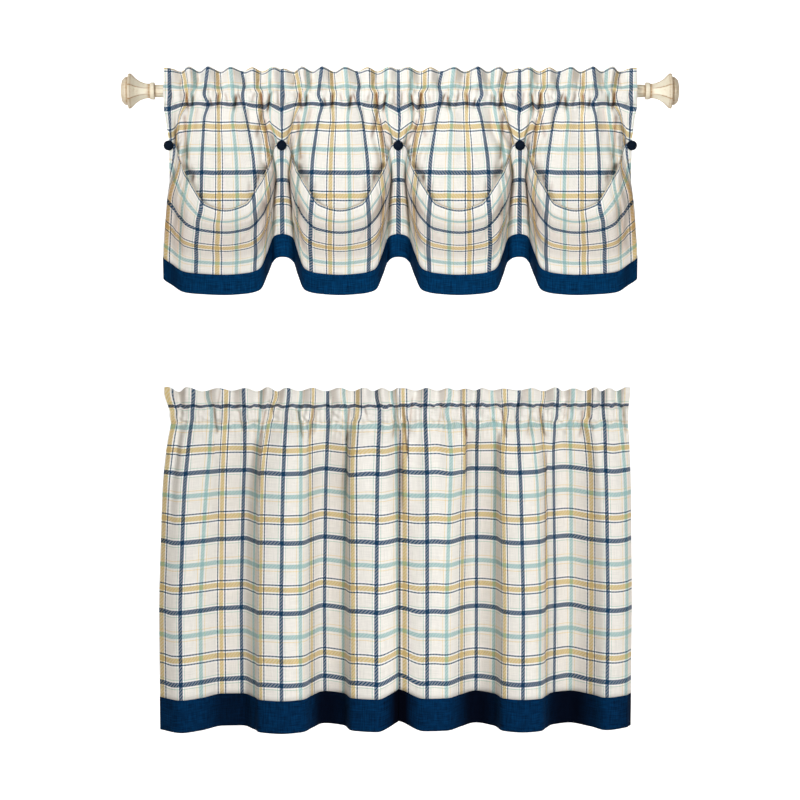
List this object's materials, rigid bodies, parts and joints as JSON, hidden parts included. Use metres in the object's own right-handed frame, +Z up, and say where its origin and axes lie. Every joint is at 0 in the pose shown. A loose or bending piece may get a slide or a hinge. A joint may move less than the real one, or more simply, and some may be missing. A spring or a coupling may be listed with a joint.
{
  "type": "kitchen curtain set on a rod",
  "caption": "Plaid kitchen curtain set: button-up swag valance gathered on a rod with flared finials, above a pair of rod-pocket cafe tiers, all with plain contrast hem bands.",
  "frame": {"origin": "on the rod's axis at the middle of its length", "axes": "+X along the rod to the right, +Y away from the room towards the window, +Z up"},
  "size_m": [0.9636, 0.1172, 1.1699],
  "materials": {
    "rod_wood": "cream paint with a brown antique glaze",
    "plaid_cloth": "linen-look woven plaid in navy, teal and gold on warm white",
    "band_cloth": "plain navy linen-look cloth",
    "button_cloth": "dark navy covered button"
  },
  "bodies": {
    "root": {"rod": "rod_wood", "finial_left": "rod_wood", "finial_right": "rod_wood", "valance_cloth": "plaid_cloth", "valance_band": "band_cloth", "button_1": "button_cloth", "button_2": "button_cloth", "button_3": "button_cloth", "button_4": "button_cloth", "button_5": "button_cloth", "tier_left_heading": "plaid_cloth", "tier_left_cloth": "plaid_cloth", "tier_left_band": "band_cloth", "tier_right_heading": "plaid_cloth", "tier_right_cloth": "plaid_cloth", "tier_right_band": "band_cloth"}
  },
  "joints": []
}
